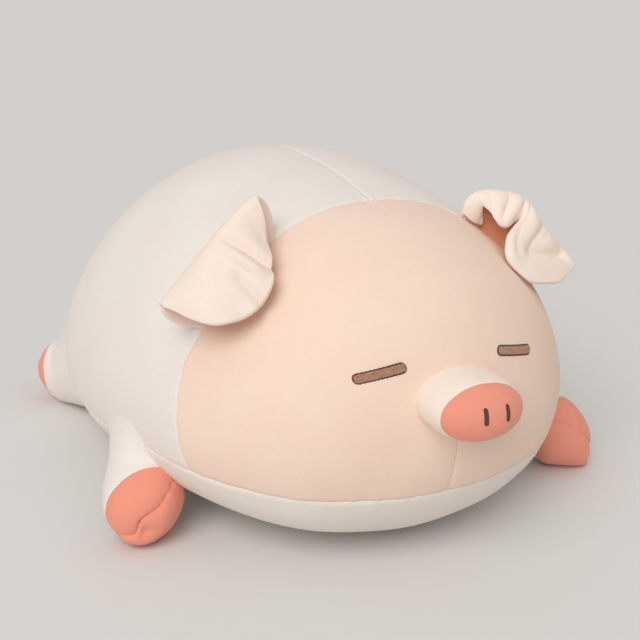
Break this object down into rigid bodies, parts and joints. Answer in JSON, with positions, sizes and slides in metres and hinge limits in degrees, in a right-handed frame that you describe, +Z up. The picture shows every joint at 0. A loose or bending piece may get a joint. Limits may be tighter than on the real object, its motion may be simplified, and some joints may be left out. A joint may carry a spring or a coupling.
{
  "type": "plush pig",
  "caption": "Stuffed plush pig lying flat on its belly, with an egg-shaped body, oval snout, stitched eyes, folded ears, short splayed legs with soft hooves and a curled tail.",
  "frame": {"origin": "on the flat of the belly that rests on the ground, below the body's axis and midway along the body", "axes": "+Z up, +X towards the pig's left side, +Y from the snout towards the tail"},
  "size_m": [0.4517, 0.5348, 0.274],
  "materials": {
    "fibre": "polyester fibre filling, inside the covers",
    "white_cloth": "short-pile velvety plush cloth, warm white",
    "cream_cloth": "short-pile velvety plush cloth, cream pink",
    "peach_cloth": "short-pile velvety plush cloth, peach",
    "coral_cloth": "short-pile velvety plush cloth, coral",
    "deep_coral_cloth": "short-pile velvety plush cloth, deep coral",
    "brown_thread": "satin-stitched embroidery thread, brown"
  },
  "bodies": {
    "body": {"body_filling": "fibre", "face_panel": "peach_cloth", "back_panel_left": "white_cloth", "back_panel_right": "white_cloth", "belly_panel": "white_cloth", "snout_filling": "fibre", "snout_band": "cream_cloth", "snout_disc": "coral_cloth", "eye_right": "brown_thread", "eye_left": "brown_thread", "nostril_right": "brown_thread", "nostril_left": "brown_thread"},
    "front_right_leg": {"front_right_leg_filling": "fibre", "front_right_leg_sleeve": "white_cloth", "front_right_leg_hoof_top": "coral_cloth", "front_right_leg_hoof_sole": "coral_cloth"},
    "front_left_leg": {"front_left_leg_filling": "fibre", "front_left_leg_sleeve": "white_cloth", "front_left_leg_hoof_top": "coral_cloth", "front_left_leg_hoof_sole": "coral_cloth"},
    "rear_right_leg": {"rear_right_leg_filling": "fibre", "rear_right_leg_sleeve": "white_cloth", "rear_right_leg_hoof_top": "coral_cloth", "rear_right_leg_hoof_sole": "coral_cloth"},
    "rear_left_leg": {"rear_left_leg_filling": "fibre", "rear_left_leg_sleeve": "white_cloth", "rear_left_leg_hoof_top": "coral_cloth", "rear_left_leg_hoof_sole": "coral_cloth"},
    "ear_right": {"ear_right_outer": "cream_cloth", "ear_right_lining": "deep_coral_cloth"},
    "ear_left": {"ear_left_outer": "cream_cloth", "ear_left_lining": "deep_coral_cloth"},
    "tail": {"tail": "cream_cloth"}
  },
  "joints": [
    {"name": "front_right_leg_splay", "type": "hinge", "parent": "body", "child": "front_right_leg", "pos_m": [-0.1858, -0.0385, 0.063], "axis": [0, 0, -1], "range_deg": [0, 35], "stiffness_Nm_per_rad": 0.6},
    {"name": "front_left_leg_splay", "type": "hinge", "parent": "body", "child": "front_left_leg", "pos_m": [0.1832, -0.0496, 0.063], "axis": [0, 0, 1], "range_deg": [0, 35], "stiffness_Nm_per_rad": 0.6},
    {"name": "rear_right_leg_splay", "type": "hinge", "parent": "body", "child": "rear_right_leg", "pos_m": [-0.17, 0.153, 0.056], "axis": [0, 0, 1], "range_deg": [0, 35], "stiffness_Nm_per_rad": 0.6},
    {"name": "rear_left_leg_splay", "type": "hinge", "parent": "body", "child": "rear_left_leg", "pos_m": [0.17, 0.153, 0.056], "axis": [0, 0, -1], "range_deg": [0, 35], "stiffness_Nm_per_rad": 0.6},
    {"name": "ear_left_lift", "type": "hinge", "parent": "body", "child": "ear_left", "pos_m": [0.11892, -0.09766, 0.21351], "axis": [-0.7292, 0.1423, 0.6694], "range_deg": [0, 60], "stiffness_Nm_per_rad": 0.03},
    {"name": "ear_right_lift", "type": "hinge", "parent": "body", "child": "ear_right", "pos_m": [-0.11892, -0.09766, 0.21351], "axis": [-0.7292, -0.1423, -0.6694], "range_deg": [0, 60], "stiffness_Nm_per_rad": 0.03},
    {"name": "tail_wag", "type": "hinge", "parent": "body", "child": "tail", "pos_m": [0, 0.22934, 0.132], "axis": [1, 0, 0], "range_deg": [-30, 30], "stiffness_Nm_per_rad": 0.01}
  ]
}
